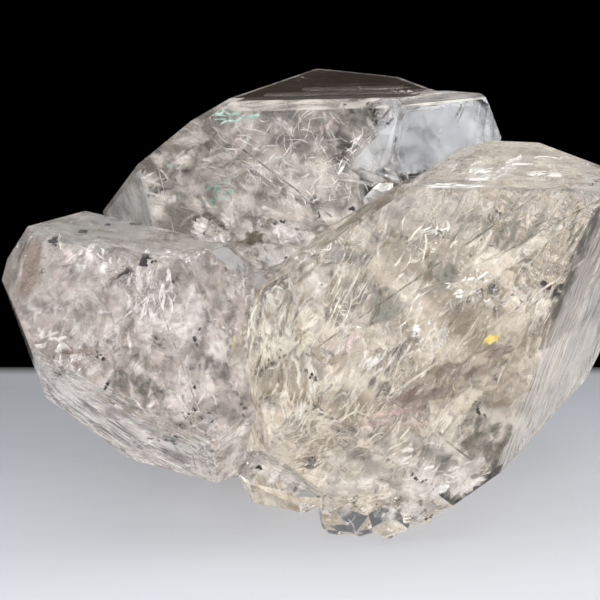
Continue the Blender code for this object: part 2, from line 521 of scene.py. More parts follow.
class Lot:
    """Points and faces of one piece, with each point's cover and tone from 0 to 1."""

    def __init__(self):
        self.points, self.faces, self.cover, self.tone, self.count = [], [], [], [], 0

    def add(self, points, faces, cover=1.0, tone=0.5):
        if len(points) == 0:
            return
        points, faces = points.reshape(-1, 3), faces.reshape(-1, faces.shape[-1])
        self.points.append(points)
        self.faces.extend((faces + self.count).tolist())
        self.cover.append(np.broadcast_to(cover, len(points)))
        self.tone.append(np.broadcast_to(tone, len(points)))
        self.count += len(points)

    def make(self, name, material, shades=False):
        """The piece, on the one body. Most pieces cast no shadow, as films in glass hardly do."""
        mesh = bpy.data.meshes.new(name)
        mesh.from_pydata((np.vstack(self.points) * MM).tolist(), [], self.faces)
        for key, values in (("cover", self.cover), ("tone", self.tone)):
            mesh.attributes.new(key, "FLOAT", "POINT").data.foreach_set(
                "value", np.concatenate(values).astype(np.float32))
        mesh.materials.append(material)
        item = placed(name, mesh)
        item.visible_shadow = shades
        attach(item, BODY)


def flakes(rng, lot, centres, length, width, corners=5, margin=0.25):
    """Irregular flat flakes that face every way."""
    count = len(centres)
    normals = random_directions(rng, count)
    along = square_to(random_directions(rng, count), normals)
    across = np.cross(normals, along)
    turn = (np.arange(corners) + rng.uniform(-0.3, 0.3, (count, corners))) * 2 * math.pi / corners
    reach = rng.uniform(0.55, 1.0, (count, corners))
    u = (np.cos(turn) * reach * length[:, None])[..., None] * along[:, None]
    v = (np.sin(turn) * reach * width[:, None])[..., None] * across[:, None]
    rim = centres[:, None] + u + v
    rim = rim[shallowest(rim) > margin]
    lot.add(rim, np.arange(len(rim) * corners).reshape(-1, corners))


def strips(index):
    """The quads between neighbours of a grid of point numbers, or of many grids."""
    return np.stack((index[..., :-1, :-1], index[..., :-1, 1:], index[..., 1:, 1:], index[..., 1:, :-1]), -1)


def threads(rng, lot, starts, directions, length, width, bend=0.4, steps=7, tip=0.12, margin=0.2):
    """Narrow curved ribbons with thin ends."""
    count = len(starts)
    curl = np.cross(directions, random_directions(rng, count)) * rng.uniform(0.2, 1, (count, 1)) * bend
    points = [starts]
    heading = directions
    for _ in range(steps - 1):
        heading = unit(heading + curl + rng.normal(0, 0.12 * bend, (count, 3)))
        points.append(points[-1] + heading * (length / (steps - 1))[:, None])
    path = np.stack(points, 1)
    side = unit(np.cross(directions, random_directions(rng, count)))[:, None]
    taper = np.sin(np.linspace(tip, math.pi - tip, steps))[None, :, None]
    half = side * taper * width[:, None, None] / 2
    rims = np.stack((path - half, path + half), 2)
    rims = rims[shallowest(rims) > margin]
    lot.add(rims, strips(np.arange(len(rims) * steps * 2).reshape(-1, steps, 2)))


def shreds(rng, lot, centres, normals, along, length, width, cover, tone, bend=0.25, curve=0.12, firm=1.0,
           margin=0.25, measure=depth, outward=None):
    """Small curved films with soft ends. In about half of them one side breaks off sharply.

    length and width are half of the whole. Films less than margin mm deep are left out. Where outward is
    given, they are moved in against it first.
    """
    columns, rows, crisp, spare = 7, 4, 0.5, 0.05
    count = len(centres)
    along = square_to(along, normals)
    across = np.cross(normals, along)
    u, v = (grid.ravel() for grid in np.meshgrid(np.linspace(-1, 1, columns), np.linspace(-1, 1, rows)))
    taper = np.sqrt(1 - 0.8 * u ** 2)
    jag = 1 + rng.uniform(-0.35, 0.35, (count, len(u)))
    sway = rng.normal(0, curve, (count, 1)) * u ** 2 + rng.normal(0, curve * 2 / 3, (count, 1)) * u ** 3
    height = bend * (rng.uniform(-1, 1, (count, 1)) * u ** 2 + rng.uniform(-0.6, 0.6, (count, 1)) * u * v)
    points = (centres[:, None] + along[:, None] * (u * length[:, None])[..., None]
              + across[:, None] * (v * taper * jag * width[:, None] + sway * length[:, None])[..., None]
              + normals[:, None] * (height * length[:, None])[..., None])
    sharp = rng.random((count, 1)) < crisp
    rim = np.minimum(firm * (1 - np.abs(u) ** 3) * np.where(sharp, (1 + v) / 2, 1 - v ** 2), 1)
    if outward is not None:
        points -= (outward * np.maximum(0, margin + spare - shallowest(points, measure))[:, None])[:, None]
    safe = shallowest(points, measure) > margin
    quads = strips(np.arange(safe.sum() * len(u)).reshape(-1, rows, columns))
    cover = (rim * np.broadcast_to(cover, count)[:, None])[safe].ravel()
    tone = np.repeat(np.broadcast_to(tone, count)[safe], len(u))
    lot.add(points[safe], quads, cover, np.clip(tone, 0, 1))


def sheet(rng, lot, centre, normal, along, half_length, half_width, bow, patches, shade, ripple=0.0,
          pitch=0.6, margin=0.4, strength=0.8, base=0.25):
    """A large curved film with holes in it. The fields patches and shade say where it is thick and light."""
    along = unit(along - normal * (along @ normal))
    across = np.cross(normal, along)
    rows = max(4, int(2 * half_width / pitch))
    columns = max(4, int(2 * half_length / pitch))
    u, v = np.meshgrid(np.linspace(-1, 1, columns), np.linspace(-1, 1, rows))
    phase = rng.uniform(0, FULL_TURN, 7)
    lengthwise, crosswise, twist = rng.uniform(0.4, 1), rng.uniform(-0.6, 0.6), rng.uniform(-0.5, 0.5)
    height = bow * (u ** 2 * lengthwise + v ** 2 * crosswise + u * v * twist)
    height += 0.25 * bow * np.sin(3 * u + phase[0]) * np.cos(2.4 * v + phase[1])
    height += 0.12 * bow * np.sin(7 * u + phase[2] + 2 * v)
    height += ripple * np.sin(np.hypot(u + 1.2, v * 0.7) * half_length * 4.5 + phase[6])
    points = centre + along * (u * half_length)[..., None] + across * (v * half_width)[..., None]
    points = (points + normal * height[..., None]).reshape(-1, 3)
    angle = np.arctan2(v, u)
    edge = 0.82 + 0.12 * np.sin(2 * angle + phase[3]) + 0.1 * np.sin(5 * angle + phase[4])
    inward = (edge - np.hypot(u, v)).reshape(-1) * 6
    cover = np.clip(np.minimum(inward, base + patches(points)), 0, 1)
    safe = depth(points) > margin
    quads = strips(np.arange(rows * columns).reshape(rows, columns)).reshape(-1, 4)
    quads = quads[safe[quads].all(1) & (cover[quads] > 0).any(1)]
    used = np.unique(quads)
    renumber = np.zeros(len(points), int)
    renumber[used] = np.arange(len(used))
    tone = np.clip(0.5 + 0.4 * shade(points), 0, 1)
    lot.add(points[used], renumber[quads], cover[used] * strength, tone[used])


def sheets(rng, lot, name, count, size, lean=0.5, bow=0.3, **more):
    """Sheets through one crystal, turned at random but rather towards its front and back."""
    patches, shade = random_field(rng, 6.0), random_field(rng, 9.0)
    for place in random_inside(rng, name, count, 1.5):
        normal = unit(random_direction(rng) + lean * FROM_EYE * rng.choice((-1, 1)))
        half = size * rng.uniform(0.4, 1.2)
        sheet(rng, lot, place, normal, random_direction(rng), half, half * rng.uniform(0.4, 0.8), half * bow,
              patches, shade, **more)


def deep_milk(rng, lot, name, count, size):
    """The dense haze in a crystal's far half, which stops the view through it. Its tone is lowered, and
    painted shade darkens it upwards.
    """
    patches, shade = random_field(rng, 7.0), random_field(rng, 6.0)

    # painted shade: darker than the tone field says, and more so higher up
    def dim(points):
        return shade(points) - 0.4 - 0.015 * (points[:, 2] - MID_HEIGHT)

    places = random_inside(rng, name, 400, 2.0)
    for place in places[(places - middle(CRYSTALS[name])) @ FROM_EYE > 3.0][:count]:
        normal = unit(FROM_EYE + rng.normal(0, 0.25, 3))
        sheet(rng, lot, place, normal, random_direction(rng), size, size * 0.8, size * 0.2, patches, dim,
              strength=1.0, base=1.2)


class Fill(NamedTuple):
    """What one crystal holds: how many of each, how large (mm), and how far the shreds' ways spread."""
    milk: int
    films: int
    shreds: int
    threads: int
    flakes: int
    size: float
    length: tuple
    width: tuple
    spread: float


DEEP_SHEETS = 14
# painted light: tones get lighter below this height (mm) and darker above it
MID_HEIGHT = 30  # mm
FILLS = {
    "left": Fill(9, 7, 620, 70, 1500, 12, (0.5, 2.4), (0.15, 0.8), 0.8),
    "rear": Fill(8, 7, 500, 300, 1400, 13, (0.6, 3), (0.12, 0.7), 1),
    "right": Fill(10, 7, 1200, 180, 2400, 14, (0.8, 3.8), (0.06, 0.38), 0.16),
    "shoulder": Fill(2, 2, 25, 10, 60, 6, (0.6, 2), (0.1, 0.4), 0.2),
    "back": Fill(8, 4, 300, 60, 600, 12, (0.6, 3), (0.2, 1), 0.6),
    "back_right": Fill(8, 4, 200, 60, 600, 11, (0.6, 3), (0.2, 0.9), 0.6),
}
PINKISH = ((0, (0.3, 0.26, 0.24)), (0.35, (0.6, 0.54, 0.515)), (1, (1, 0.955, 0.94)))
NEUTRAL = ((0, (0.17, 0.152, 0.135)), (0.35, (0.43, 0.395, 0.365)), (1, (0.82, 0.775, 0.735)))
CHAMPAGNE = ((0, (0.32, 0.27, 0.2)), (0.35, (0.63, 0.56, 0.455)), (1, (1, 0.95, 0.86)))
BLUISH = ((0, (0.5, 0.52, 0.56)), (0.35, (0.66, 0.68, 0.72)), (1, (0.88, 0.9, 0.93)))
TONES = {"left": PINKISH, "rear": NEUTRAL, "right": CHAMPAGNE, "shoulder": BLUISH, "back": NEUTRAL,
         "back_right": CHAMPAGNE}


def ways(rng, name, count, spread):
    """Directions about the way that a crystal's flaws run."""
    return unit(np.array(FLOWS[name]) + rng.normal(0, spread, (count, 3)))


def milk(rng, name, fill):
    """Cloudy sheets."""
    lot = Lot()
    deep_milk(rng, lot, name, DEEP_SHEETS, fill.size)
    sheets(rng, lot, name, fill.milk, fill.size, lean=0.9)
    lot.make(f"milk_{name}", milk_material(f"milk_{name}", TONES[name]))


def fractures(rng, name, fill, film):
    """Open fractures, which shine."""
    lot = Lot()
    sheets(rng, lot, name, fill.films, fill.size * 0.6, ripple=0.05, bow=0.2, pitch=0.4)
    lot.make(f"fractures_{name}", film)


def healed_fractures(rng, name, fill):
    """Small healed fractures, lighter in some zones, with painted light: a little darker higher up and
    lighter lower down, where less lamp light reaches.
    """
    lot = Lot()
    count = fill.shreds
    along = ways(rng, name, count, fill.spread)
    normals = unit(FROM_EYE + rng.normal(0, 0.7, (count, 3)))
    zones = random_field(rng, 9.0)
    centres = random_inside(rng, name, count, 0.8)
    # painted light: the tone lightens below the middle height and darkens above it
    tone = 0.62 + 0.28 * zones(centres) + rng.normal(0, 0.18, count) - 0.009 * (centres[:, 2] - MID_HEIGHT)
    length, width = rng.uniform(*fill.length, count), rng.uniform(*fill.width, count)
    shreds(rng, lot, centres, normals, along, length, width, rng.uniform(0.3, 0.95, count), tone)
    lot.make(f"shreds_{name}", milk_material(f"shreds_{name}", TONES[name], 1400.0, SHRED_CONTRAST, 0.2))


def flaws(rng, name, fill):
    """Threads through the whole crystal, and tiny flakes that crowd around some points."""
    lot = Lot()
    count = fill.threads
    headings = ways(rng, name, count, max(fill.spread, 0.5))
    threads(rng, lot, random_inside(rng, name, count, 1.0), headings, rng.uniform(0.8, 3.2, count),
            rng.uniform(0.04, 0.14, count))
    count = fill.flakes
    crowds = random_inside(rng, name, max(6, count // 150), 1.5)
    length = rng.uniform(0.08, 0.36, count)
    places = crowds[rng.integers(len(crowds), size=count)] + rng.normal(0, 1.2, (count, 3))
    flakes(rng, lot, places, length, length * rng.uniform(0.3, 0.8, count))
    lot.make(f"flaws_{name}", flake_material(f"flaws_{name}", TONES[name]), shades=True)


class Stroke(NamedTuple):
    """Shreds under one elliptical area of the picture.

    area: middle x, y and half sizes in pixels. angle: of the shreds, degrees anticlockwise from rightward.
    deep, length and width are ranges in mm, and cover and tone are ranges too.
    """
    kind: str
    area: tuple
    count: int
    angle: float
    spread: float
    length: tuple
    width: tuple
    deep: tuple = (0.5, 1.6)
    cover: tuple = (0.6, 1.0)
    tone: tuple = (0.4, 1.0)


KINDS = {  # how much each kind of stroke shines, and its darkest and its lightest tone
    "pale": (0.2, (0.5, 0.46, 0.43), (0.96, 0.92, 0.9)),
    "cream": (0.2, (0.6, 0.5, 0.34), (1, 0.95, 0.8)),
    # painted highlights: this kind is near-white shining films, faced towards the lamps, that stand in for
    # glints of reflected light
    "glint": (0.5, (0.8, 0.8, 0.8), (1, 1, 0.98)),
    "dark": (0.1, (0.03, 0.028, 0.025), (0.12, 0.105, 0.09)),
    "olive": (0.04, (0.075, 0.065, 0.04), (0.19, 0.17, 0.115)),
    "brown": (0.06, (0.12, 0.08, 0.06), (0.32, 0.225, 0.175)),
    "rose": (0.2, (0.45, 0.26, 0.22), (0.85, 0.62, 0.6)),
    "teal": (0.2, (0.12, 0.42, 0.36), (0.4, 0.8, 0.66)),
    "yellow": (0.2, (0.8, 0.62, 0.08), (0.95, 0.8, 0.2)),
}
pale, cream, glint, dark, olive, brown, rose, teal, yellow = (partial(Stroke, kind) for kind in KINDS)
STROKES = (
    # left crystal: wisps, the fold and window at its left end, the painted glints of its lower band
    pale((150, 292, 26, 28), 40, 84, 12, (1.5, 4), (0.3, 0.9)),
    dark((152, 294, 22, 24), 14, 84, 10, (1.2, 3.5), (0.12, 0.35), cover=(0.4, 0.8)),
    glint((250, 285, 10, 14), 9, 76, 8, (1.5, 4), (0.4, 0.8)),
    glint((222, 262, 10, 8), 4, 40, 30, (1, 2), (0.3, 0.6)),
    pale((52, 340, 14, 10), 6, 30, 30, (2, 4.5), (0.5, 1.2), tone=(0.1, 0.6)),
    pale((90, 262, 25, 22), 14, 60, 40, (1.5, 4), (0.6, 1.8), cover=(0.3, 0.7)),
    rose((75, 270, 20, 20), 6, 60, 40, (2, 4), (1, 2), cover=(0.2, 0.4)),
    # painted shade, brownish: dark films that darken the crystal's left end
    brown((28, 265, 8, 28), 26, 68, 5, (4, 8), (0.8, 2), (0.2, 0.8), (0.7, 1), (0, 0.6)),
    dark((36, 238, 2, 12), 4, 70, 4, (2.5, 4), (0.15, 0.3)),
    brown((66, 351, 30, 3), 8, 5, 6, (3, 6), (0.2, 0.5)),
    pale((60, 366, 2, 8), 4, 90, 3, (2, 3), (0.15, 0.3)),
    pale((60, 243, 2, 8), 4, -80, 4, (2, 3), (0.2, 0.35)),
    pale((135, 256, 70, 6), 26, 80, 40, (1, 2.5), (0.3, 0.8)),
    glint((190, 254, 20, 5), 7, -10, 20, (1, 2.5), (0.2, 0.5)),
    olive((140, 378, 30, 24), 8, 80, 30, (3, 6), (1.5, 3), (1.5, 4), (0.4, 0.6)),
    glint((66, 396, 14, 9), 22, -44, 4, (3, 7), (0.5, 1.3), (0.3, 0.7), (0.8, 1)),
    glint((92, 420, 18, 8), 22, -42, 4, (3, 7), (0.5, 1.3), (0.3, 0.7), (0.8, 1)),
    glint((122, 443, 20, 7), 20, -36, 4, (3, 7), (0.4, 1.1), (0.3, 0.7), (0.8, 1)),
    glint((160, 464, 24, 5), 18, -26, 4, (3, 6), (0.3, 0.9), (0.3, 0.7), (0.8, 1)),
    dark((84, 408, 16, 6), 10, -43, 3, (4, 8), (0.3, 0.7), (0.2, 0.4)),
    dark((116, 432, 16, 5), 10, -38, 3, (4, 8), (0.3, 0.7), (0.2, 0.4)),
    dark((160, 454, 20, 4), 9, -28, 3, (3, 6), (0.25, 0.6), (0.2, 0.4)),
    dark((205, 450, 20, 8), 10, -20, 30, (0.6, 1.6), (0.1, 0.4)),
    dark((195, 415, 20, 8), 10, 0, 60, (0.4, 1.2), (0.1, 0.3)),
    cream((215, 470, 20, 8), 10, -10, 20, (1.5, 3.5), (0.3, 1)),
    brown((200, 458, 26, 6), 6, -20, 10, (2, 4), (0.3, 0.8)),
    cream((256, 345, 12, 36), 18, 82, 6, (3, 7), (0.3, 0.8)),
    yellow((236, 345, 3, 16), 4, 85, 4, (2, 4), (0.3, 0.5), cover=(0.3, 0.5)),
    brown((247, 340, 4, 24), 6, 84, 5, (2, 5), (0.2, 0.5)),
    # rear crystal: its net of threads, its rainbow films, the lines round the clear window, some drawn as
    # painted glints
    pale((296, 160, 84, 48), 150, 20, 90, (1.5, 4.5), (0.12, 0.24), (0.6, 3), tone=(0.7, 1)),
    pale((165, 168, 26, 36), 36, 50, 40, (2, 4.5), (0.5, 1.4), (0.8, 4), (0.3, 0.7)),
    teal((235, 116, 22, 6), 9, 15, 15, (1.5, 3.5), (0.3, 0.9), cover=(0.5, 0.9)),
    teal((168, 163, 6, 8), 4, 60, 20, (1, 2.5), (0.3, 0.8), cover=(0.3, 0.6)),
    teal((222, 190, 14, 9), 9, 30, 20, (1.5, 3), (0.3, 0.8), cover=(0.4, 0.7)),
    teal((208, 200, 10, 6), 3, 30, 20, (1, 2.5), (0.3, 0.8), cover=(0.3, 0.6)),
    olive((212, 160, 30, 12), 10, 10, 12, (3, 6), (0.4, 1.2), cover=(0.4, 0.7)),
    rose((328, 125, 8, 12), 6, 70, 20, (1.5, 3), (0.3, 0.8), cover=(0.3, 0.6)),
    rose((265, 140, 40, 20), 10, 30, 60, (1.5, 3), (0.3, 0.8), cover=(0.2, 0.4)),
    olive((262, 240, 20, 16), 8, 30, 25, (2, 4.5), (0.8, 2)),
    pale((392, 160, 24, 14), 8, 60, 40, (3, 6), (1.5, 3), (2, 5), (0.3, 0.5)),
    dark((463, 109, 5, 9), 4, 65, 4, (3, 4.5), (0.2, 0.5)),
    glint((365, 181, 32, 2), 6, -8, 3, (3, 6), (0.15, 0.3)),
    glint((341, 169, 2, 8), 3, 62, 4, (2, 3), (0.15, 0.3)),
    glint((360, 147, 12, 10), 5, 40, 4, (2.5, 4), (0.15, 0.3)),
    glint((388, 126, 12, 7), 4, 34, 4, (2.5, 4), (0.15, 0.3)),
    # right crystal: the painted glints and the lines of its roof
    glint((472, 172, 32, 9), 28, 18, 7, (1.5, 4.5), (0.3, 0.7), (0.3, 1.2), (0.3, 0.7)),
    pale((540, 165, 35, 14), 12, 10, 15, (2, 5), (0.3, 1.2), (0.3, 1.2)),
    dark((460, 182, 46, 2), 9, 2, 1, (3, 6), (0.15, 0.25), (0.3, 0.6)),
    glint((455, 186, 46, 2), 9, 2, 1, (3, 6), (0.15, 0.25), (0.3, 0.6)),
    dark((540, 190, 50, 3), 8, -1, 1, (3, 6), (0.15, 0.25), (0.3, 0.6)),
    # right crystal: its left half
    cream((300, 330, 20, 22), 7, 68, 12, (3, 7), (1.2, 2.6)),
    dark((316, 353, 16, 4), 5, -22, 8, (2, 4), (0.2, 0.6)),
    dark((314, 370, 12, 12), 8, 60, 40, (0.8, 2), (0.15, 0.6)),
    olive((388, 308, 18, 14), 10, 65, 15, (3.5, 6), (1.4, 2.6), (1, 2.5), (0.5, 0.8)),
    olive((442, 272, 14, 16), 8, 60, 20, (3, 5), (1.2, 2.4), (1, 2.5), (0.4, 0.7)),
    olive((500, 225, 44, 18), 24, 62, 12, (4, 8), (0.6, 1.6), (1, 2.5), (0.3, 0.6)),
    dark((362, 292, 14, 20), 10, 66, 5, (3, 7), (0.12, 0.3)),
    cream((350, 290, 24, 32), 14, 66, 5, (4, 8), (0.12, 0.3)),
    cream((395, 245, 40, 25), 8, 55, 12, (2, 6), (0.2, 0.45)),
    glint((425, 229, 20, 4), 4, 15, 5, (3, 5), (0.25, 0.5)),
    glint((405, 300, 14, 28), 7, 60, 12, (1.5, 4.5), (0.15, 0.35)),
    cream((450, 240, 22, 20), 5, 75, 15, (2, 4), (0.3, 0.6)),
    pale((400, 360, 40, 18), 14, 50, 15, (2, 5), (0.3, 0.8)),
    # right crystal: sparkles made of painted glints and dark specks, the brown and reddish band and the
    # yellow spot
    glint((490, 288, 44, 14), 50, 30, 30, (0.5, 1.8), (0.2, 0.5), (0.2, 0.7)),
    glint((432, 335, 20, 14), 44, 60, 40, (0.5, 1.5), (0.2, 0.5), (0.2, 0.7)),
    dark((495, 298, 44, 14), 40, 30, 30, (0.5, 1.8), (0.15, 0.4), (0.2, 0.7)),
    brown((425, 400, 26, 9), 14, 34, 8, (3, 6), (0.7, 1.6), (0.5, 1.6), (0.4, 0.8)),
    brown((462, 372, 26, 8), 11, 34, 8, (3, 6), (0.6, 1.3), (0.5, 1.6), (0.4, 0.8)),
    brown((500, 350, 22, 6), 8, 30, 8, (3, 5), (0.4, 1), (0.5, 1.6)),
    rose((400, 418, 40, 9), 8, 8, 10, (3, 7), (0.4, 1.2), cover=(0.3, 0.6)),
    rose((345, 345, 14, 14), 5, 60, 20, (2, 4), (0.8, 1.6), cover=(0.3, 0.5)),
    yellow((490, 340, 6, 3), 8, 24, 8, (1.8, 2.8), (0.7, 1.1), (0.3, 0.6), (0.8, 1)),
    # right crystal: its side and lower end
    pale((558, 370, 20, 60), 24, 78, 4, (4, 9), (0.2, 0.6), cover=(0.4, 0.8)),
    # painted shade: dark streaks down the edge of the right crystal's side, where it looks dark
    dark((594, 222, 3, 10), 6, 66, 3, (3, 5), (0.4, 0.9), (0.2, 0.5)),
    dark((583, 248, 3, 12), 6, 66, 3, (3, 5), (0.4, 0.9), (0.2, 0.5)),
    dark((570, 275, 3, 12), 6, 65, 3, (3, 5), (0.4, 0.9), (0.2, 0.5)),
    dark((558, 302, 3, 12), 6, 65, 3, (3, 5), (0.3, 0.7), (0.2, 0.5)),
    brown((547, 325, 3, 12), 5, 65, 3, (3, 5), (0.3, 0.6), (0.2, 0.5)),
    olive((565, 230, 18, 30), 8, 66, 4, (4, 9), (0.4, 1)),
    cream((350, 440, 60, 36), 60, 45, 20, (2, 6), (0.2, 0.6)),
    pale((430, 465, 44, 24), 26, 20, 25, (1.5, 4), (0.3, 0.9)),
    glint((440, 488, 10, 4), 3, 10, 10, (1.5, 2.5), (0.5, 0.9)),
    pale((472, 488, 32, 11), 22, 35, 30, (2, 5), (1, 2.2), (0.8, 4), tone=(0.1, 0.7)),
    olive((480, 435, 34, 26), 14, 60, 25, (2.5, 5), (1, 2.2), cover=(0.5, 0.8)),
    # small crystals at the foot
    pale((268, 474, 14, 10), 6, 55, 40, (2.5, 4.5), (1.4, 2.4), (0.3, 1), (0.5, 0.9)),
    pale((298, 486, 16, 12), 8, -30, 50, (2.5, 4.5), (1.2, 2.2), (0.3, 1.4), (0.4, 0.8), (0.2, 0.9)),
    glint((262, 470, 10, 8), 5, 60, 40, (1.5, 3), (0.3, 0.8), (0.3, 0.8)),
    glint((300, 484, 18, 10), 5, 40, 50, (1.2, 2.6), (0.15, 0.4), (0.3, 0.8)),
    dark((297, 474, 8, 8), 6, 20, 60, (0.6, 1.4), (0.15, 0.35), (0.3, 1)),
    dark((285, 484, 26, 10), 5, 35, 50, (1.5, 3), (0.1, 0.2), (0.3, 1)),
    pale((346, 518, 22, 14), 12, 30, 60, (2.2, 4), (1.2, 2.2), (0.3, 1.6), (0.4, 0.8), (0.2, 0.9)),
    glint((345, 514, 24, 17), 9, 45, 60, (1.4, 3), (0.15, 0.4), (0.3, 0.9)),
    dark((348, 508, 20, 12), 8, 0, 60, (0.8, 2.2), (0.1, 0.3), (0.3, 1)),
    pale((405, 512, 30, 10), 14, 15, 50, (2.2, 4), (1.2, 2.2), (0.3, 1.8), (0.4, 0.8), (0.1, 0.8)),
    glint((405, 508, 28, 12), 6, 20, 60, (1.2, 2.6), (0.15, 0.4), (0.3, 0.9)),
    dark((405, 508, 30, 12), 6, 10, 50, (0.8, 2.2), (0.1, 0.3), (0.3, 1)),
    olive((400, 505, 24, 8), 4, 0, 60, (1, 2), (0.4, 1), (0.6, 2)),
)
TOWARDS_LIGHT = np.array((0.0, -0.83, 0.56))
BRIGHT = ("glint", "pale", "cream")
STRAIGHT = 6  # strokes that spread less (degrees) are nearly straight


def ellipse(rng, area, count):
    """Random pixels in an ellipse."""
    x, y, half_x, half_y = area
    turn = rng.uniform(0, FULL_TURN, count)
    reach = np.sqrt(rng.random(count))
    return np.stack((x + half_x * reach * np.cos(turn), y + half_y * reach * np.sin(turn)), 1)


def painted(rng, lot, stroke):
    """One stroke's shreds, just under the surface, drawn along the picture's direction that it names."""
    places = ellipse(rng, stroke.area, stroke.count)
    deeps = rng.uniform(*stroke.deep, stroke.count)
    seen = [look_in(x, y, deep) for (x, y), deep in zip(places, deeps)]
    centres, normals = (np.array(part) for part in zip(*(pair for pair in seen if pair[0] is not None)))
    count = len(centres)
    angle = np.radians(stroke.angle + rng.normal(0, stroke.spread, count))
    along = np.cos(angle)[:, None] * np.array(RIGHTWARD) + np.sin(angle)[:, None] * np.array(UPWARD)
    slope = (along * normals).sum(1) / np.maximum((normals * TO_EYE).sum(1), 0.15)
    along = unit(along - slope[:, None] * TO_EYE)
    towards = TOWARDS_LIGHT if stroke.kind in BRIGHT else normals + TO_EYE
    faces = unit(towards + rng.normal(0, 0.25, (count, 3)))
    length, width = rng.uniform(*stroke.length, count) / 2, rng.uniform(*stroke.width, count) / 2
    cover, tone = rng.uniform(*stroke.cover, count), rng.uniform(*stroke.tone, count)
    shreds(rng, lot, centres, square_to(faces, along), along, length, width, cover, tone, bend=0.12,
           curve=0.05 if stroke.spread < STRAIGHT else 0.3, firm=3.0, margin=0.08, measure=skin_depth,
           outward=normals)


def strokes():
    """What the photographed crystals show one by one: wisps, painted glints (white films standing in for
    reflections), dark streaks, some of them painted shade, and coloured fluid films.
    """
    rng = np.random.default_rng(3)
    for kind, (gloss, darkest, lightest) in KINDS.items():
        lot = Lot()
        for stroke in STROKES:
            if stroke.kind == kind:
                painted(rng, lot, stroke)
        stops = ((0, darkest), (1, lightest))
        lot.make(f"wisps_{kind}", milk_material(f"wisps_{kind}", stops, 1800.0, SHRED_CONTRAST, gloss))


FLECKS = (
    (82, 230, 0.8), (79, 230, 0.7), (109, 224, 0.6), (137, 224, 0.8), (133, 224, 0.6), (148, 262, 0.9),
    (153, 260, 0.5), (145, 264, 0.4), (99, 356, 0.4), (103, 360, 0.5), (97, 353, 0.3), (107, 383, 0.35),
    (106, 389, 0.4), (200, 330, 0.35), (196, 338, 0.45), (198, 345, 0.3), (194, 387, 0.35), (183, 412, 0.25),
    (188, 416, 0.3), (195, 411, 0.25), (201, 418, 0.3), (208, 413, 0.25), (213, 421, 0.3), (191, 423, 0.25),
    (245, 407, 0.4), (241, 404, 0.25), (147, 438, 0.5), (152, 439, 0.4), (158, 440, 0.4), (165, 440, 0.5),
    (171, 442, 0.7), (174, 441, 0.5), (140, 445, 0.5), (137, 446, 0.35), (207, 449, 0.3), (213, 451, 0.4),
    (218, 450, 0.3), (221, 453, 0.25), (275, 224, 0.3), (282, 222, 0.4), (284, 221, 0.3), (319, 214, 0.35),
    (355, 210, 0.6), (353, 209, 0.4), (287, 258, 0.3), (345, 105, 0.25), (352, 112, 0.3), (368, 103, 0.3),
    (371, 110, 0.4), (373, 118, 0.35), (381, 122, 0.25), (388, 124, 0.35), (403, 236, 0.35), (441, 232, 0.4),
    (437, 236, 0.3), (498, 212, 0.4), (281, 350, 0.3), (284, 355, 0.35), (279, 358, 0.25), (311, 376, 0.5),
    (317, 380, 0.5), (307, 371, 0.35), (480, 411, 0.5), (475, 402, 0.3), (486, 416, 0.3), (412, 475, 0.35),
    (417, 478, 0.4), (424, 481, 0.35), (355, 497, 0.3), (354, 503, 0.3), (426, 519, 0.5), (431, 517, 0.4),
    (244, 416, 0.3), (247, 425, 0.25), (221, 442, 0.25), (155, 425, 0.2), (268, 349, 0.2), (492, 246, 0.3),
    (596, 182, 0.3), (592, 184, 0.3), (52, 241, 0.7), (54, 243, 0.5),
)


FLECK_SCALE = 1.7  # mm for each 1 of a fleck's size
FLECKS_INSIDE = {"left": 120, "rear": 90, "right": 120, "back": 60, "back_right": 50}
LUMPS = 3  # in each fleck
LUMP_COVER = 0.06  # how deep (mm) lumps are kept


def ball():
    """The points and faces of a coarse sphere."""
    mesh = bmesh.new()
    bmesh.ops.create_icosphere(mesh, subdivisions=1, radius=1)
    points = np.array([vertex.co for vertex in mesh.verts])
    faces = np.array([[vertex.index for vertex in face.verts] for face in mesh.faces])
    mesh.free()
    return points, faces


def carbon():
    """Black specks of carbon: tight clusters of rough little lumps under the surface."""
    rng = np.random.default_rng(5)
    lot = Lot()
    sphere, faces = ball()
    flecks = [(look_in(x, y, rng.uniform(0.25, 0.5))[0], FLECK_SCALE * size) for x, y, size in FLECKS]
    for name, count in FLECKS_INSIDE.items():
        flecks += [(place, rng.uniform(0.08, 0.35)) for place in random_inside(rng, name, count, 0.8)]
    for place, size in flecks:
        if place is None:
            continue
        outward = np.array(SKIN.find_nearest(Vector(place) * MM)[1])
        for _ in range(LUMPS):
            lump = sphere * rng.uniform(0.4, 1.0, (len(sphere), 1)) * size * rng.uniform(0.3, 0.6, 3)
            lump = lump + place + rng.normal(0, 0.3 * size, 3)
            lump -= outward * max(0.0, LUMP_COVER - skin_depth(lump).min())
            if skin_depth(lump).min() > LUMP_COVER / 2:
                lot.add(lump, faces)
    lot.make("carbon_flecks", carbon_material(), shades=True)


def clip(polygon, toward, limit):
    """What is left of a polygon where toward . point <= limit."""
    kept = []
    for first, second in zip(polygon, polygon[1:] + polygon[:1]):
        before, after = toward @ first - limit, toward @ second - limit
        if before <= 0:
            kept.append(first)
        if before * after < 0:
            kept.append(first + (second - first) * before / (before - after))
    return kept


FACE_REACH = 120.0  # further than any face reaches, mm
ACROSS = (0.3, 0.5, 0.8)  # a direction that no veil's face looks in


def under_face(name, face, inset, rims):
    """The polygon (mm) that lies inset mm under a face. rims keep it near the edges with other faces."""
    normal, offset = face_plane(name, face)
    side = unit(np.cross(normal, ACROSS))
    up = np.cross(normal, side)
    corners = ((-1, -1), (1, -1), (1, 1), (-1, 1))
    polygon = [normal * (offset - inset) + FACE_REACH * (a * side + b * up) for a, b in corners]
    for toward, limit in zip(*PLANES[name]):
        if toward @ normal < 0.999:
            polygon = clip(polygon, toward, limit - inset)
    for neighbour, width in rims:
        toward, limit = face_plane(name, neighbour)
        polygon = clip(polygon, -toward, width - limit)
    return polygon


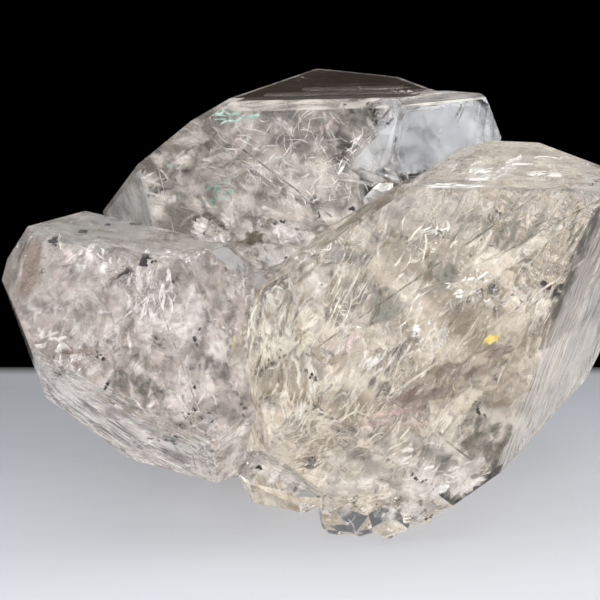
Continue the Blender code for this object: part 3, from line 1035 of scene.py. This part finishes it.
class Veil(NamedTuple):
    """A film along one face: its tones, how much it covers and which way it is combed. Most are films of
    fine bubbles; some are painted shade, and some painted highlights and reflections, as marked below.

    along is a direction, or the neighbouring face whose edge gives it. inset is how deep the veil lies (mm).
    fine is the scale of its pattern. rims keep it within some mm of the edges with other faces.
    """
    crystal: str
    face: str
    dark: tuple
    light: tuple
    cover: float
    along: object
    comb: float = 0.9
    inset: float = 0.7
    fine: float = 1400.0
    contrast: tuple = (0.35, 0.65, 0.3, 1.0)
    rims: tuple = ()
    gloss: float = 0.15
    patchy: float = 0.0
    sway: float = 4 * MM


VEILS = (
    # painted shade: a darker olive-grey film under the top face, standing in for the dark backdrop that it
    # reflects
    Veil("left", "m1", (0.12, 0.115, 0.1), (0.36, 0.35, 0.33), 0.85, "r1", 0.3, 1.1, 260),
    # painted reflection: a smooth light grey film near the edge with q1, standing in for a lamp reflected in
    # this face
    Veil("left", "m0", (0.33, 0.335, 0.34), (0.46, 0.47, 0.48), 0.9, "m1", 0.6, fine=300,
         rims=(("q1", 3.6),)),
    # painted shade, brownish: a dark film near the edge with r2 that darkens the crystal's left end
    Veil("left", "r1", (0.035, 0.026, 0.02), (0.16, 0.125, 0.1), 0.95, FLOWS["left"], 0.9, 0.9, 600,
         rims=(("r2", 2.4),), sway=8 * MM),
    Veil("left", "r1", (0.1, 0.08, 0.07), (0.46, 0.41, 0.37), 0.8, FLOWS["left"], 0.8, 1.2, patchy=0.6),
    Veil("left", "r4", (0.03, 0.03, 0.025), (1, 1, 0.96), 0.8, "r0", 0.96, 0.8, 800,
         (0.46, 0.6, 0, 1), gloss=0.45, patchy=0.8, sway=9.6 * MM),
    # painted shade: a nearly black, faintly brown film under the top face, standing in for the black
    # backdrop seen in it
    Veil("rear", "m1", (0.03, 0.022, 0.016), (0.046, 0.033, 0.024), 1, "r2", 0.8, 0.8, 300,
         (0.3, 0.6, 0.9, 1), gloss=0.01),
    # painted highlight: a light film near the ridge with m1, standing in for the bright line along it
    Veil("rear", "r2", (0.3, 0.27, 0.235), (0.95, 0.88, 0.8), 0.8, "m1", 0.9, 0.6, 1300,
         rims=(("m1", 2.2),), patchy=0.5),
    Veil("rear", "q3", (0.36, 0.38, 0.39), (0.52, 0.54, 0.55), 0.7, "m3", 0.5, fine=400),
    Veil("shoulder", "r1", (0.35, 0.33, 0.3), (0.92, 0.87, 0.8), 0.8, "m1", 0.9, 0.4),
    Veil("shoulder", "q1", (0.24, 0.26, 0.29), (0.5, 0.53, 0.57), 0.7, FLOWS["shoulder"], 0.6, 1.4, 140,
         (0.3, 0.7, 0.7, 1)),
    Veil("shoulder", "m0", (0.26, 0.28, 0.3), (0.52, 0.55, 0.58), 0.7, FLOWS["shoulder"], 0.6, 0.8, 140,
         (0.3, 0.7, 0.7, 1)),
    Veil("right", "q1", (0.075, 0.062, 0.05), (0.36, 0.32, 0.27), 0.88, "q0", 0.85, 0.9, 900, patchy=0.5,
         sway=8 * MM),
    Veil("right", "q4", (0.2, 0.195, 0.185), (0.8, 0.79, 0.78), 0.8, "q5", 0.95, 1.1, 1500),
    # painted shade: this and the next veil are dark films along the edge between q4 and q5, where the right
    # side looks dark
    Veil("right", "q4", (0.06, 0.055, 0.045), (0.3, 0.28, 0.25), 0.8, "q5", 0.95, 0.6, 1000,
         (0.4, 0.6, 0.2, 1), rims=(("q5", 6), ("q1", 24)), patchy=0.5),
    Veil("right", "q5", (0.04, 0.035, 0.028), (0.22, 0.19, 0.155), 0.95, "q4", 0.95, 0.6, 1000,
         (0.3, 0.6, 0.5, 1), rims=(("q4", 1.6), ("q1", 24))),
    Veil("right", "m0", (0.28, 0.25, 0.17), (1, 0.97, 0.84), 0.8, "q0", 0.9, 1, 800, (0.5, 0.64, 0, 1),
         gloss=0.35, patchy=0.6, sway=12 * MM),
)


def veil_material(name, veil):
    add, finish = fresh(name)
    along = edge_run(veil.crystal, veil.face, veil.along) if isinstance(veil.along, str) else veil.along
    place = combed(add, along, veil.comb, veil.sway)
    fine = add("TexNoise", Vector=place, Scale=veil.fine, Detail=1.5, Roughness=0.6)
    broad = noise(add, 170.0, 1.0)
    both = calc(add, "MULTIPLY_ADD", broad, 0.9, fine)
    tone = tone_ramp(add, both, ((0.72, veil.dark), (0.98, veil.light)))
    patches = between(add, broad, 0.42, 0.58, 1.0 - veil.patchy, 1.0)
    cover = product(add, product(add, attribute(add, "cover"), patches), between(add, fine, *veil.contrast))
    return covered(add, finish, cover, light_catching(add, tone, veil.gloss, 0.25))


def veils():
    for place, veil in enumerate(VEILS):
        name = f"veil_{place}_{veil.crystal}_{veil.face}"
        outline = np.array(under_face(veil.crystal, veil.face, veil.inset, veil.rims))
        lot = Lot()
        lot.add(outline, np.arange(len(outline))[None], veil.cover)
        lot.make(name, veil_material(name, veil))


HAZE = (  # pixels, and how deep behind them (mm) a cloud lies
    (200, 170, 14), (260, 150, 14), (330, 190, 14), (300, 225, 13), (385, 195, 12), (240, 210, 14),
    (345, 150, 16), (475, 455, 9), (440, 480, 7), (360, 470, 12), (520, 420, 10),
)


def haze():
    """Clouds deep inside, where the quartz would otherwise be seen right through."""
    rng = np.random.default_rng(8)
    lot = Lot()
    patches, shade = random_field(rng, 7.0), random_field(rng, 5.0)
    for x, y, deep in HAZE:
        place = look_in(x, y, deep)[0]
        normal = unit(TO_EYE + rng.normal(0, 0.2, 3))
        sheet(rng, lot, place, normal, random_direction(rng), 9, 8, 1.5, patches, shade, strength=1.0,
              base=1.3)
    lot.make("deep_haze", milk_material("deep_haze", NEUTRAL))


def inclusions():
    veils()
    strokes()
    haze()
    carbon()
    film = film_material()
    for seed, (name, fill) in enumerate(FILLS.items(), 10):
        rng = np.random.default_rng(seed)
        milk(rng, name, fill)
        fractures(rng, name, fill, film)
        healed_fractures(rng, name, fill)
        flaws(rng, name, fill)


camera()
floor()
lights()
settings()
SOLID.material_slots[0].material = quartz_glass()
crisp_edges(SOLID)
inclusions()
